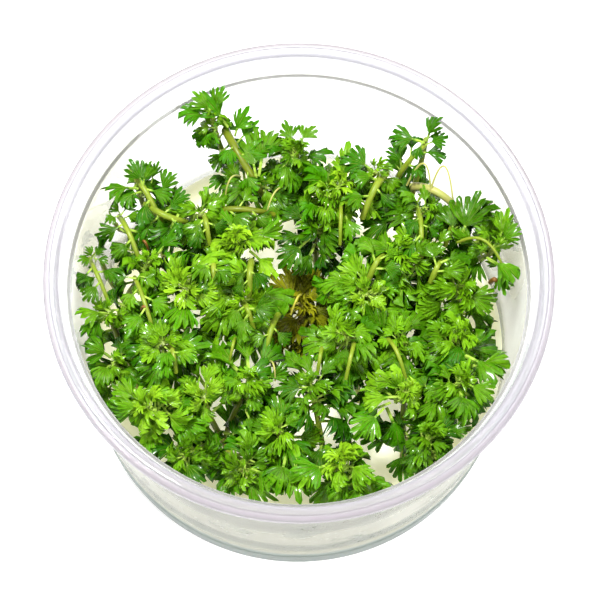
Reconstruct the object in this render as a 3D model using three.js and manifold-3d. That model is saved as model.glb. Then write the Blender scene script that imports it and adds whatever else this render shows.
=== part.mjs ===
// Tissue culture water violet growing on agar gel in its open clear cup.
// Millimetres, +Z up. The origin is the middle of the cup's underside, and +Y is the cup's far side.

import * as THREE from "three";
import { mergeVertices } from "three/addons/utils/BufferGeometryUtils.js";
import Module from "manifold-3d";

const wasm = await Module();
wasm.setup();

// Cup
const cupHeight = 56;
const rimRadius = 50;
const lipRadius = 47.1;
const baseRadius = 43.3;
const shoulderRadius = 45.8;
const shoulderHeight = 49.6;
const ledgeRise = 0.6;
const wallThickness = 0.9;
const floorThickness = 1;
const baseRounding = 0.8;
const beadRounding = 0.6;
const flangeDepth = 1.8;
const roundSegments = 44;

// Gel
const gelLevel = 14;
const meniscusRise = 0.5;
const touchGap = 0.3;

// Stems
const stemRadius = 0.6;
const branchRadius = 0.5;
const stemSides = 5;
const stemSteps = 3;
const branchSteps = 3;
const climbShare = 0.4;
const forkAt = 0.34;
const forkSpacing = 0.12;

// Leaf crowns
const heartRadius = 0.95;
const leafDepth = 0.55;
const leafGap = 0.34;
const shortestReach = 0.3;
const shortestLobe = 0.88;
const reachStep = 0.05;
const fullCrownLeaf = 7.7;
const ringElevation = Math.atan(0.5);
const steepLeaf = 0.82;
const spreadLeaf = 0.12;
const leafSag = 0.18;
const bladeStartAlong = 0.4;
const bladeStartAcross = 0.5;
const ridgeAlong = 0.42;
const notchAlong = 0.62;
const notchAcross = 0.34;
const lobeAlong = 0.76;
const widthShare = 0.92;
const crownTurn = 0.7;

// Colours and surfaces
const cupColour = 0xf2f3f8;
const cupRoughness = 0.15;
const cupOpacity = 0.3;
const gelColour = 0xeeecd0;
const gelRoughness = 0.3;
const stemColours = { young: 0xb5cf5c, old: 0x8c7636 };
const stemRoughness = 0.45;
const leafColours = { bright: 0x5db52a, mid: 0x3c9620, deep: 0x24701a, old: 0x8a8230 };
const leafRoughness = 0.4;

// Each plant has a foot [x, y] on the gel and tips with a place, a leaf length and a leaf colour.
const plants = [
  {
    foot: [-10, 26],
    tips: [
      { at: [-18, 36, 49.5], leaf: 5.8, tone: "bright" },
      { at: [-8.5, 23.5, 45.5], leaf: 7, tone: "deep" },
    ],
  },
  {
    foot: [-28, 17],
    tips: [
      { at: [-33, 22.5, 48.5], leaf: 5.4, tone: "mid" },
      { at: [-37, 14.5, 44.5], leaf: 4.6, tone: "deep" },
    ],
  },
  {
    foot: [-33, 3],
    tips: [
      { at: [-39.5, 6.5, 45], leaf: 4.8, tone: "deep" },
      { at: [-30, 6, 46], leaf: 6.2, tone: "mid" },
    ],
  },
  {
    foot: [-33, -10],
    tips: [
      { at: [-37.5, -4.5, 44.5], leaf: 6.6, tone: "mid" },
      { at: [-36.5, -14, 42], leaf: 6, tone: "mid" },
    ],
  },
  {
    foot: [-23, -7],
    tips: [
      { at: [-22.5, -1, 49.5], leaf: 8.4, tone: "bright" },
      { at: [-26.5, -12, 48.5], leaf: 8, tone: "mid" },
    ],
  },
  {
    foot: [-14, 6],
    tips: [
      { at: [-20, 15.5, 48], leaf: 8, tone: "deep" },
      { at: [-12.5, 9.5, 48.5], leaf: 8.6, tone: "bright" },
      { at: [-11, -2, 47], leaf: 8.6, tone: "mid" },
    ],
  },
  {
    foot: [4, 25],
    tips: [
      { at: [-1, 29, 50], leaf: 6.6, tone: "mid" },
      { at: [7.5, 21.5, 48.5], leaf: 7.6, tone: "bright" },
      { at: [15, 25, 49.5], leaf: 6.4, tone: "mid" },
    ],
  },
  {
    foot: [21, 23],
    tips: [
      { at: [25, 32, 50], leaf: 6.2, tone: "mid" },
      { at: [25, 18, 47.5], leaf: 8.2, tone: "deep" },
    ],
  },
  {
    foot: [34, 10],
    tips: [
      { at: [33.5, 17, 47.5], leaf: 6.4, tone: "deep" },
      { at: [38.5, 9.5, 48], leaf: 6.6, tone: "mid" },
    ],
  },
  {
    foot: [17, 4],
    tips: [
      { at: [20.5, 7.5, 49.5], leaf: 8.6, tone: "mid" },
      { at: [13.5, -0.5, 47], leaf: 7.6, tone: "bright" },
    ],
  },
  {
    foot: [4, 11],
    tips: [{ at: [3, 15, 44], leaf: 8, tone: "deep" }],
  },
  {
    foot: [0, -1],
    tips: [{ at: [0.5, 2, 30], leaf: 8.6, tone: "old" }],
  },
  {
    foot: [13, -12],
    tips: [
      { at: [8.5, -9, 48], leaf: 8.6, tone: "mid" },
      { at: [20, -9.5, 46], leaf: 8.4, tone: "deep" },
    ],
  },
  {
    foot: [33, 0],
    tips: [{ at: [32, 2, 46.5], leaf: 8.6, tone: "deep" }],
  },
  {
    foot: [31, -15],
    tips: [
      { at: [31.5, -8.5, 46.5], leaf: 8.2, tone: "mid" },
      { at: [31.5, -19, 48], leaf: 8.2, tone: "mid" },
    ],
  },
  {
    foot: [22, -27],
    tips: [
      { at: [21, -21.5, 49], leaf: 7.6, tone: "bright" },
      { at: [25.5, -30.5, 48], leaf: 8, tone: "deep" },
    ],
  },
  {
    foot: [2, -28],
    tips: [
      { at: [9, -36, 49.5], leaf: 8.2, tone: "bright" },
      { at: [-3.5, -28.5, 45], leaf: 8.6, tone: "mid" },
      { at: [3, -20, 47], leaf: 7.6, tone: "deep" },
    ],
  },
  {
    foot: [-12, -28],
    tips: [
      { at: [-18, -23, 48], leaf: 8.2, tone: "bright" },
      { at: [-9.5, -19.5, 49.5], leaf: 6.4, tone: "mid" },
      { at: [-10, -36.5, 44], leaf: 8.2, tone: "mid" },
    ],
  },
  {
    foot: [-25, -27],
    tips: [
      { at: [-29, -25.5, 49], leaf: 7.6, tone: "bright" },
      { at: [-21.5, -33.5, 43.5], leaf: 7.6, tone: "deep" },
    ],
  },
];

const tips = plants.flatMap((plant) => plant.tips);

function colouredMaterial(colour, roughness) {
  return new THREE.MeshStandardMaterial({ color: colour, roughness, metalness: 0 });
}

function cupMaterial() {
  return new THREE.MeshStandardMaterial({
    color: cupColour,
    roughness: cupRoughness,
    metalness: 0,
    transparent: true,
    opacity: cupOpacity,
  });
}

function namedMesh(name, geometry, material) {
  geometry.computeVertexNormals();
  const mesh = new THREE.Mesh(geometry, material);
  mesh.name = name;
  return mesh;
}

// The cup

function innerWallRadius(height) {
  const share = (height - floorThickness) / (shoulderHeight - floorThickness);
  const radius = THREE.MathUtils.lerp(baseRadius, shoulderRadius, share);
  return radius - wallThickness;
}

function turned(profile) {
  const points = profile.map(([radius, height]) => new THREE.Vector2(radius, height));
  return new THREE.LatheGeometry(points, roundSegments).rotateX(Math.PI / 2);
}

function cupGeometry() {
  const ledgeTop = shoulderHeight + ledgeRise;
  const flangeBase = cupHeight - flangeDepth;
  return turned([
    [0, 0],
    [baseRadius - baseRounding, 0],
    [baseRadius, baseRounding],
    [shoulderRadius, shoulderHeight],
    [shoulderRadius + wallThickness, ledgeTop],
    [lipRadius + wallThickness, flangeBase],
    [rimRadius - beadRounding, flangeBase],
    [rimRadius, flangeBase + beadRounding],
    [rimRadius, cupHeight - beadRounding],
    [rimRadius - beadRounding, cupHeight],
    [lipRadius + beadRounding, cupHeight],
    [lipRadius, cupHeight - beadRounding],
    [shoulderRadius, ledgeTop + wallThickness / 2],
    [shoulderRadius - wallThickness, ledgeTop],
    [innerWallRadius(floorThickness + baseRounding), floorThickness + baseRounding],
    [innerWallRadius(floorThickness) - baseRounding, floorThickness],
    [0, floorThickness],
  ]);
}

// The gel, a shallow disc that climbs a little at the wall

function gelGeometry() {
  const underside = floorThickness + touchGap;
  const edgeTop = gelLevel + meniscusRise;
  return turned([
    [0, underside],
    [innerWallRadius(underside) - baseRounding - touchGap, underside],
    [innerWallRadius(underside) - touchGap, underside + baseRounding],
    [innerWallRadius(edgeTop) - touchGap, edgeTop],
    [innerWallRadius(edgeTop) - touchGap - 2 * meniscusRise, gelLevel],
    [0, gelLevel],
  ]);
}

// The stems

function solidFrom(geometry) {
  const bare = geometry.clone();
  bare.deleteAttribute("normal");
  bare.deleteAttribute("uv");
  const welded = mergeVertices(bare);
  const mesh = new wasm.Mesh({
    numProp: 3,
    vertProperties: new Float32Array(welded.attributes.position.array),
    triVerts: new Uint32Array(welded.index.array),
  });
  return new wasm.Manifold(mesh);
}

function geometryFrom(solid) {
  const mesh = solid.getMesh();
  const geometry = new THREE.BufferGeometry();
  geometry.setAttribute("position", new THREE.BufferAttribute(mesh.vertProperties, mesh.numProp));
  geometry.setIndex(new THREE.BufferAttribute(mesh.triVerts, 1));
  return geometry;
}

function stalkGeometry(curve, radius, steps) {
  const section = new THREE.Shape();
  for (let side = 0; side < stemSides; side += 1) {
    const angle = (side / stemSides) * 2 * Math.PI;
    const corner = [radius * Math.cos(angle), radius * Math.sin(angle)];
    if (side === 0) {
      section.moveTo(...corner);
    } else {
      section.lineTo(...corner);
    }
  }
  return new THREE.ExtrudeGeometry(section, { steps, extrudePath: curve });
}

// A stalk leaves its start along one direction and always comes up under its tip.
function stalkCurve(start, leaving, tip) {
  const end = new THREE.Vector3(...tip.at);
  end.z -= heartRadius + touchGap;
  const climb = (end.z - start.z) * climbShare;
  const early = start.clone().addScaledVector(leaving, climb);
  const late = end.clone();
  late.z -= climb;
  return new THREE.CubicBezierCurve3(start, early, late, end);
}

function stemGeometry(plant) {
  const [mainTip, ...sideTips] = plant.tips;
  const foot = new THREE.Vector3(...plant.foot, gelLevel + touchGap);
  const upward = new THREE.Vector3(0, 0, 1);
  const mainCurve = stalkCurve(foot, upward, mainTip);
  let stem = solidFrom(stalkGeometry(mainCurve, stemRadius, stemSteps));
  sideTips.forEach((tip, index) => {
    const along = forkAt + index * forkSpacing;
    const branchCurve = stalkCurve(mainCurve.getPoint(along), mainCurve.getTangent(along), tip);
    stem = stem.add(solidFrom(stalkGeometry(branchCurve, branchRadius, branchSteps)));
  });
  return geometryFrom(stem);
}

// The leaf crowns

function groundDistance(point, place) {
  return Math.hypot(point.x - place[0], point.y - place[1]);
}

function isFree(point, tip) {
  if (Math.hypot(point.x, point.y) > innerWallRadius(point.z) - leafGap) {
    return false;
  }
  const own = groundDistance(point, tip.at);
  return tips.every((other) => other === tip || groundDistance(point, other.at) > own + leafGap);
}

// A leaf is a three-lobed fan with a ridge on top. The places are shares of its length and width.
function leafPoints(root, direction, length, width) {
  const side = new THREE.Vector3(-direction.y, direction.x, 0).normalize();
  const lift = new THREE.Vector3().crossVectors(direction, side);
  const place = (along, across, raised) => {
    const sag = length * leafSag * along * along;
    return root.clone()
      .addScaledVector(direction, length * along)
      .addScaledVector(side, length * width * across)
      .addScaledVector(lift, raised)
      .add(new THREE.Vector3(0, 0, -sag));
  };
  return {
    ridge: place(ridgeAlong, 0, leafDepth),
    right: place(bladeStartAlong, -bladeStartAcross, 0),
    rightLobe: place(lobeAlong, -1, 0),
    rightNotch: place(notchAlong, -notchAcross, 0),
    middleLobe: place(1, 0, 0),
    leftNotch: place(notchAlong, notchAcross, 0),
    leftLobe: place(lobeAlong, 1, 0),
    left: place(bladeStartAlong, bladeStartAcross, 0),
  };
}

// A lobe that would reach into a neighbour's space or the wall is drawn in towards the heart.
function drawnIn(point, tip, shortest) {
  const heart = new THREE.Vector3(...tip.at);
  let reach = 1;
  let place = point;
  while (reach > shortest && !isFree(place, tip)) {
    reach -= reachStep;
    place = heart.clone().lerp(point, reach);
  }
  return place;
}

// A leaf is as long as its own space lets it be.
function fittedLeaf(tip, root, direction, width) {
  let points = {};
  for (let reach = 1; reach > shortestReach; reach -= reachStep) {
    points = leafPoints(root, direction, tip.leaf * reach, width);
    ["rightLobe", "middleLobe", "leftLobe"].forEach((lobe) => {
      points[lobe] = drawnIn(points[lobe], tip, shortestLobe);
    });
    if (Object.values(points).every((point) => isFree(point, tip))) {
      return points;
    }
  }
  return points;
}

// The heart has a top point, two rings of corners and a bottom point. A leaf grows from each top
// face and from each face that stands on the lower ring.
function crownGeometry(tip, turn) {
  const around = tip.leaf > fullCrownLeaf ? 5 : 4;
  const centre = new THREE.Vector3(...tip.at);
  const vertices = [];
  const faces = [];

  const addVertex = (vertex) => vertices.push(vertex) - 1;
  const heartCorner = (azimuth, elevation) => {
    const ring = heartRadius * Math.cos(elevation);
    const corner = new THREE.Vector3(ring * Math.cos(azimuth), ring * Math.sin(azimuth), 0);
    corner.z = heartRadius * Math.sin(elevation);
    return corner.add(centre);
  };

  const sector = (2 * Math.PI) / around;
  const steepShare = Math.asin(Math.cos(steepLeaf) * Math.sin(sector / 2));
  const steepWidth = lobeAlong * Math.tan(steepShare) * widthShare;
  const spreadWidth = lobeAlong * Math.tan(sector / 2) * widthShare;
  const upper = [];
  const lower = [];
  for (let index = 0; index < around; index += 1) {
    upper.push(addVertex(heartCorner(turn + index * sector, ringElevation)));
    lower.push(addVertex(heartCorner(turn + (index + 0.5) * sector, -ringElevation)));
  }
  const top = addVertex(heartCorner(0, Math.PI / 2));
  const bottom = addVertex(heartCorner(0, -Math.PI / 2));

  const addLeaf = (peak, right, left, azimuth, elevation, width) => {
    const root = new THREE.Vector3();
    [peak, right, left].forEach((corner) => root.addScaledVector(vertices[corner], 1 / 3));
    const flat = Math.cos(elevation);
    const direction = new THREE.Vector3(flat * Math.cos(azimuth), flat * Math.sin(azimuth), 0);
    direction.z = Math.sin(elevation);
    const at = {};
    Object.entries(fittedLeaf(tip, root, direction, width)).forEach(([name, point]) => {
      at[name] = addVertex(point);
    });
    const rootLoop = [peak, right, left];
    const bladeLoop = [at.ridge, at.right, at.left];
    for (let corner = 0; corner < 3; corner += 1) {
      const next = (corner + 1) % 3;
      faces.push([rootLoop[corner], rootLoop[next], bladeLoop[next]]);
      faces.push([rootLoop[corner], bladeLoop[next], bladeLoop[corner]]);
    }
    const rightEdge = [at.right, at.rightLobe, at.rightNotch, at.middleLobe];
    const outline = [...rightEdge, at.leftNotch, at.leftLobe, at.left];
    for (let corner = 0; corner + 1 < outline.length; corner += 1) {
      faces.push([at.ridge, outline[corner], outline[corner + 1]]);
    }
    faces.push([at.left, at.leftLobe, at.leftNotch]);
    faces.push([at.leftNotch, at.middleLobe, at.rightNotch]);
    faces.push([at.rightNotch, at.rightLobe, at.right]);
    faces.push([at.right, at.left, at.leftNotch]);
    faces.push([at.right, at.leftNotch, at.rightNotch]);
  };

  for (let index = 0; index < around; index += 1) {
    const next = (index + 1) % around;
    const between = turn + (index + 0.5) * sector;
    const onCorner = turn + (index + 1) * sector;
    addLeaf(top, upper[index], upper[next], between, steepLeaf, steepWidth);
    addLeaf(upper[next], lower[index], lower[next], onCorner, spreadLeaf, spreadWidth);
    faces.push([upper[index], lower[index], upper[next]]);
    faces.push([lower[index], bottom, lower[next]]);
  }

  const geometry = new THREE.BufferGeometry().setFromPoints(vertices);
  geometry.setIndex(faces.flat());
  return geometry;
}

// Assembly

function numbered(name, index) {
  return `${name}_${String(index + 1).padStart(2, "0")}`;
}

function waterVioletCup() {
  const group = new THREE.Group();
  group.add(namedMesh("cup", cupGeometry(), cupMaterial()));
  group.add(namedMesh("agar_gel", gelGeometry(), colouredMaterial(gelColour, gelRoughness)));
  plants.forEach((plant, index) => {
    const colour = plant.tips[0].tone === "old" ? stemColours.old : stemColours.young;
    const material = colouredMaterial(colour, stemRoughness);
    group.add(namedMesh(numbered("stem", index), stemGeometry(plant), material));
  });
  tips.forEach((tip, index) => {
    const geometry = crownGeometry(tip, index * crownTurn);
    const material = colouredMaterial(leafColours[tip.tone], leafRoughness);
    group.add(namedMesh(numbered("leaf_crown", index), geometry, material));
  });
  return group;
}

export default waterVioletCup();
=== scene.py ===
import math
import random
import bmesh
import bpy
from mathutils import Matrix, Vector


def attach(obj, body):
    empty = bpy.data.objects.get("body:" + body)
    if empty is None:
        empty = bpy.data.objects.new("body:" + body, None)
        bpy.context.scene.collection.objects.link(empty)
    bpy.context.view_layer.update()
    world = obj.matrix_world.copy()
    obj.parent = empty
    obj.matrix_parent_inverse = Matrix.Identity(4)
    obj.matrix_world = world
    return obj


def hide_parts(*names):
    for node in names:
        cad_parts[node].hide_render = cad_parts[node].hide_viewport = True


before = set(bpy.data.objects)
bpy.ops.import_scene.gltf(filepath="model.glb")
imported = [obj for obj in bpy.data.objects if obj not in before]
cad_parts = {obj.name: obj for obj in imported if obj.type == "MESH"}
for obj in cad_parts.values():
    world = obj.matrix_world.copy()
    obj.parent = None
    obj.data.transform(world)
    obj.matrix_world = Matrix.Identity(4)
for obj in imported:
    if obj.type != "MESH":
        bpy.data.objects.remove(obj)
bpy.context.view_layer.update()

mm = 0.001

# The same measures as the solids, in millimetres
cup = {
    "height": 56.0, "rim": 50.0, "lip": 47.1, "base": 43.3, "shoulder": 45.8, "shoulderHeight": 49.6,
    "ledgeRise": 0.6, "wall": 0.9, "floor": 1.0, "flange": 1.8,
}
gel = {"level": 14.0, "meniscus": 0.5, "gap": 0.3}

# The place of each plant's foot on the gel and of its tips, with leaf length and leaf colour
plants = [
    {"foot": (-10, 26), "tips": [((-18, 36, 49.5), 5.8, "bright"), ((-8.5, 23.5, 45.5), 7.0, "deep")]},
    {"foot": (-28, 17), "tips": [((-33, 22.5, 48.5), 5.4, "mid"), ((-37, 14.5, 44.5), 4.6, "deep")]},
    {"foot": (-33, 3), "tips": [((-39.5, 6.5, 45), 4.8, "deep"), ((-30, 6, 46), 6.2, "mid")]},
    {"foot": (-33, -10), "tips": [((-37.5, -4.5, 44.5), 6.6, "mid"), ((-36.5, -14, 42), 6.0, "mid")]},
    {"foot": (-23, -7), "tips": [((-22.5, -1, 49.5), 8.4, "bright"), ((-26.5, -12, 48.5), 8.0, "mid")]},
    {"foot": (-14, 6), "tips": [((-20, 15.5, 48), 8.0, "deep"), ((-12.5, 9.5, 48.5), 8.6, "bright"),
                                ((-11, -2, 47), 8.6, "mid")]},
    {"foot": (4, 25), "tips": [((-1, 29, 50), 6.6, "mid"), ((7.5, 21.5, 48.5), 7.6, "bright"),
                               ((15, 25, 49.5), 6.4, "mid")]},
    {"foot": (21, 23), "tips": [((25, 32, 50), 6.2, "mid"), ((25, 18, 47.5), 8.2, "deep")]},
    {"foot": (34, 10), "tips": [((33.5, 17, 47.5), 6.4, "deep"), ((38.5, 9.5, 48), 6.6, "mid")]},
    {"foot": (17, 4), "tips": [((20.5, 7.5, 49.5), 8.6, "mid"), ((13.5, -0.5, 47), 7.6, "bright")]},
    {"foot": (4, 11), "tips": [((3, 15, 44), 8.0, "deep")]},
    {"foot": (0, -1), "tips": [((0.5, 2, 30), 8.6, "old")]},
    {"foot": (13, -12), "tips": [((8.5, -9, 48), 8.6, "mid"), ((20, -9.5, 46), 8.4, "deep")]},
    {"foot": (33, 0), "tips": [((32, 2, 46.5), 8.6, "deep")]},
    {"foot": (31, -15), "tips": [((31.5, -8.5, 46.5), 8.2, "mid"), ((31.5, -19, 48), 8.2, "mid")]},
    {"foot": (22, -27), "tips": [((21, -21.5, 49), 7.6, "bright"), ((25.5, -30.5, 48), 8.0, "deep")]},
    {"foot": (2, -28), "tips": [((9, -36, 49.5), 8.2, "bright"), ((-3.5, -28.5, 45), 8.6, "mid"),
                                ((3, -20, 47), 7.6, "deep")]},
    {"foot": (-12, -28), "tips": [((-18, -23, 48), 8.2, "bright"), ((-9.5, -19.5, 49.5), 6.4, "mid"),
                                  ((-10, -36.5, 44), 8.2, "mid")]},
    {"foot": (-25, -27), "tips": [((-29, -25.5, 49), 7.6, "bright"), ((-21.5, -33.5, 43.5), 7.6, "deep")]},
]


def deselectAll():
    if bpy.context.mode != "OBJECT":
        bpy.ops.object.mode_set(mode="OBJECT")
    bpy.ops.object.select_all(action="DESELECT")


# Camera, floor and light

photo = {
    "elevation": 69.8, "roll": 1.07, "distance": 520.0, "lens": 160.05, "sensor": 36.0,
    "aimDown": 5.1, "aimRight": 0.166, "clipNear": 0.01, "clipFar": 20.0,
}


def placeCamera():
    tilt = math.radians(photo["elevation"])
    roll = math.radians(photo["roll"])
    back = Vector((0, -math.cos(tilt), math.sin(tilt)))
    flatRight = Vector((1, 0, 0))
    flatUp = back.cross(flatRight)
    right = flatRight * math.cos(roll) + flatUp * math.sin(roll)
    up = flatUp * math.cos(roll) - flatRight * math.sin(roll)
    aim = Vector((0, 0, cup["height"])) - up * photo["aimDown"] + right * photo["aimRight"]
    bpy.ops.object.camera_add(location=(aim + back * photo["distance"]) * mm)
    camera = bpy.context.object
    camera.name = "photoCamera"
    camera.rotation_euler = Matrix((right, up, back)).transposed().to_euler()
    camera.data.sensor_width = photo["sensor"]
    camera.data.lens = photo["lens"]
    camera.data.clip_start = photo["clipNear"]
    camera.data.clip_end = photo["clipFar"]
    bpy.context.scene.camera = camera


studio = {
    "floorSize": 6.0, "floorDrop": 0.0002, "floorGrey": 0.80, "floorRoughness": 0.9, "floorGlow": 0.45,
    "sky": 1.02, "aim": (0, 0, 0.03),
    "key": {"at": (-0.16, 0.12, 0.85), "size": 0.14, "watts": 12.0},
    "fill": {"at": (0.40, -0.30, 0.65), "size": 0.3, "watts": 3.0},
}


def addSoftbox(name, settings):
    place = Vector(settings["at"])
    bpy.ops.object.light_add(type="AREA", location=place)
    lamp = bpy.context.object
    lamp.name = name
    lamp.data.shape = "DISK"
    lamp.data.size = settings["size"]
    lamp.data.energy = settings["watts"]
    lamp.rotation_euler = (Vector(studio["aim"]) - place).to_track_quat("-Z", "Y").to_euler()


def lightStudio():
    bpy.context.scene.view_settings.view_transform = "Standard"
    world = bpy.data.worlds.new("softRoom")
    bpy.context.scene.world = world
    world.use_nodes = True
    sky = world.node_tree.nodes["Background"]
    sky.inputs["Color"].default_value = colour(1, 1, 1)
    sky.inputs["Strength"].default_value = studio["sky"]
    addSoftbox("keySoftbox", studio["key"])
    addSoftbox("fillSoftbox", studio["fill"])
    deselectAll()
    bpy.ops.mesh.primitive_plane_add(size=studio["floorSize"], location=(0, 0, -studio["floorDrop"]))
    floor = bpy.context.object
    floor.name = "paleFloor"
    paint = Paint("paleFloor")
    grey = studio["floorGrey"]
    # The floor glows a little, as a light table does, so that the cup throws hardly any shadow
    paint.shade({
        "Base Color": colour(grey, grey, grey), "Roughness": studio["floorRoughness"],
        "Emission Color": colour(1, 1, 1), "Emission Strength": studio["floorGlow"],
    })
    floor.data.materials.append(paint.material)


# Shader maths: a Wire is one socket, and sums and products on it add the nodes

class Wire:
    def __init__(self, paint, socket):
        self.paint = paint
        self.socket = socket

    def maths(self, operation, *values):
        return self.paint.node("ShaderNodeMath", {"operation": operation}, dict(enumerate(values)))

    def __add__(self, other):
        return self.maths("ADD", self, other)

    def __radd__(self, other):
        return self.maths("ADD", other, self)

    def __sub__(self, other):
        return self.maths("SUBTRACT", self, other)

    def __rsub__(self, other):
        return self.maths("SUBTRACT", other, self)

    def __mul__(self, other):
        return self.maths("MULTIPLY", self, other)

    def __rmul__(self, other):
        return self.maths("MULTIPLY", other, self)

    def root(self):
        return self.maths("SQRT", self)

    def size(self):
        return self.maths("ABSOLUTE", self)

    def step(self, low, high):
        settings = {"interpolation_type": "SMOOTHSTEP"}
        inputs = {"Value": self, "From Min": low, "From Max": high}
        return self.paint.node("ShaderNodeMapRange", settings, inputs)


class Paint:
    def __init__(self, name):
        self.material = bpy.data.materials.new(name)
        self.material.use_nodes = True
        self.tree = self.material.node_tree
        self.shader = self.tree.nodes["Principled BSDF"]

    def node(self, kind, settings=None, inputs=None, output=0):
        made = self.tree.nodes.new(kind)
        for name, value in (settings or {}).items():
            setattr(made, name, value)
        for name, value in (inputs or {}).items():
            self.feed(made.inputs[name], value)
        return Wire(self, made.outputs[output])

    def feed(self, socket, value):
        if isinstance(value, Wire):
            self.tree.links.new(value.socket, socket)
        else:
            socket.default_value = value

    def shade(self, inputs):
        for name, value in inputs.items():
            self.feed(self.shader.inputs[name], value)

    def place(self):
        return self.node("ShaderNodeTexCoord", output="Object")

    def axes(self, vector):
        split = self.node("ShaderNodeSeparateXYZ", inputs={0: vector})
        return [Wire(self, socket) for socket in split.socket.node.outputs]

    def attribute(self, name):
        return self.node("ShaderNodeAttribute", {"attribute_name": name}, output="Fac")

    def noise(self, place, scale, detail=2.0, rough=0.5):
        inputs = {"Vector": place, "Scale": scale, "Detail": detail, "Roughness": rough}
        return self.node("ShaderNodeTexNoise", inputs=inputs, output="Fac")

    def mix(self, share, first, second):
        # Sockets 6 and 7 are the two colours, and output 2 is the mixed colour
        return self.node("ShaderNodeMix", {"data_type": "RGBA"}, {0: share, 6: first, 7: second}, 2)

    def ramp(self, value, stops, top):
        # A ramp over heights from 0 to top, where each stop is a height and a colour or a number
        made = self.node("ShaderNodeValToRGB", inputs={0: value * (1 / top)})
        elements = made.socket.node.color_ramp.elements
        for index, (height, stop) in enumerate(stops):
            shown = stop if isinstance(stop, tuple) else colour(stop, stop, stop)
            element = elements[index] if index < 2 else elements.new(height / top)
            element.position = height / top
            element.color = shown
        if isinstance(stops[0][1], tuple):
            return made
        return self.axes(made)[0]

    def bump(self, height, strength, distance):
        inputs = {"Height": height, "Strength": strength, "Distance": distance}
        return self.node("ShaderNodeBump", inputs=inputs, output="Normal")

    def blend(self, share, second):
        mixed = self.node("ShaderNodeMixShader", inputs={0: share})
        self.tree.links.new(self.shader.outputs[0], mixed.socket.node.inputs[1])
        self.tree.links.new(second.socket, mixed.socket.node.inputs[2])
        self.tree.links.new(mixed.socket, self.tree.nodes["Material Output"].inputs["Surface"])


def colour(red, green, blue):
    return (red, green, blue, 1.0)


# Materials

leafTones = {
    "bright": {"dark": colour(0.060, 0.26, 0.001), "light": colour(0.38, 0.66, 0.020)},
    "mid": {"dark": colour(0.038, 0.18, 0.001), "light": colour(0.26, 0.55, 0.010)},
    "deep": {"dark": colour(0.022, 0.12, 0.001), "light": colour(0.18, 0.43, 0.006)},
    "old": {"dark": colour(0.07, 0.12, 0.001), "light": colour(0.44, 0.44, 0.015)},
}
veinLook = {"width": 0.22, "green": colour(0.46, 0.66, 0.09), "tan": colour(0.52, 0.46, 0.12)}
leafSkin = {
    "grain": 1100.0, "crinkle": 420.0, "blotch": 160.0, "veinEnds": (0.5, 1.0), "stalkEnds": (0.20, 0.35),
    "darkening": 0.62, "shine": 0.08, "wet": (0.47, 0.62), "wetRoughness": 0.2, "lightThrough": 0.32,
    "bump": 0.8, "bumpDepth": 0.0010,
}


def leafPaint(tone):
    look = leafTones[tone]
    paint = Paint("leaf_" + tone)
    place = paint.place()
    along = paint.attribute("along")
    fromVein = paint.attribute("fromVein")
    youth = paint.attribute("youth")
    grain = paint.noise(place, leafSkin["grain"], 3.0)
    crinkle = paint.noise(place, leafSkin["crinkle"], 3.0, 0.6)
    blotch = paint.noise(place, leafSkin["blotch"], 2.0)
    vein = (1 - fromVein.step(0.0, veinLook["width"])) * (1 - along.step(*leafSkin["veinEnds"]))
    petiole = 1 - along.step(*leafSkin["stalkEnds"])
    # The youth attribute carries each leaf's age and also the painted light and shade added to whole tips
    lightness = youth * 0.75 + blotch * 0.55 + crinkle * 0.5 + grain * 0.25 - leafSkin["darkening"]
    green = paint.mix(lightness.step(0.0, 1.0), look["dark"], look["light"])
    pale = veinLook["tan"] if tone == "old" else veinLook["green"]
    skin = paint.mix((vein * 0.8 + petiole * 0.8).step(0.0, 1.0), green, pale)
    paint.shade({
        "Base Color": skin,
        "Roughness": 0.2 + grain * 0.25,
        "Specular IOR Level": leafSkin["shine"],
        "Coat Weight": crinkle.step(*leafSkin["wet"]),
        "Coat Roughness": leafSkin["wetRoughness"],
        "Normal": paint.bump(crinkle + grain * 0.4 - vein * 0.8, leafSkin["bump"], leafSkin["bumpDepth"]),
    })
    glow = paint.node("ShaderNodeBsdfTranslucent", inputs={"Color": skin})
    paint.blend(leafSkin["lightThrough"], glow)
    return paint.material


# The name of each stem material, with its colour low down and high up
stemTones = {
    "stem": ("stemSkin", colour(0.30, 0.34, 0.04), colour(0.135, 0.215, 0.006)),
    "old_stem": ("oldStemSkin", colour(0.30, 0.24, 0.05), colour(0.40, 0.38, 0.04)),
    "thread": ("dryThread", colour(0.44, 0.36, 0.12), colour(0.30, 0.34, 0.08)),
    "olive": ("oliveStemSkin", colour(0.20, 0.23, 0.012), colour(0.085, 0.125, 0.003)),
    "brown": ("dryBit", colour(0.10, 0.04, 0.01), colour(0.22, 0.10, 0.02)),
}
stemSkin = {
    "streak": 420.0, "rise": (0.014, 0.045), "shine": 0.3, "flesh": 0.3, "fleshRadius": (0.6, 0.8, 0.2),
    "fleshDepth": 0.001, "bump": 0.2, "bumpDepth": 0.0003,
}


def stemPaint(name, low, high):
    paint = Paint(name)
    place = paint.place()
    height = paint.axes(place)[2]
    streak = paint.noise(place, stemSkin["streak"], 3.0)
    rise = height.step(*stemSkin["rise"])
    paint.shade({
        "Base Color": paint.mix((streak * 0.9 + rise * 0.5 - 0.3).step(0.0, 1.0), low, high),
        "Roughness": 0.3 + streak * 0.2,
        "Specular IOR Level": stemSkin["shine"],
        "Subsurface Weight": stemSkin["flesh"],
        "Subsurface Radius": stemSkin["fleshRadius"],
        "Subsurface Scale": stemSkin["fleshDepth"],
        "Normal": paint.bump(streak, stemSkin["bump"], stemSkin["bumpDepth"]),
    })
    return paint.material


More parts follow.
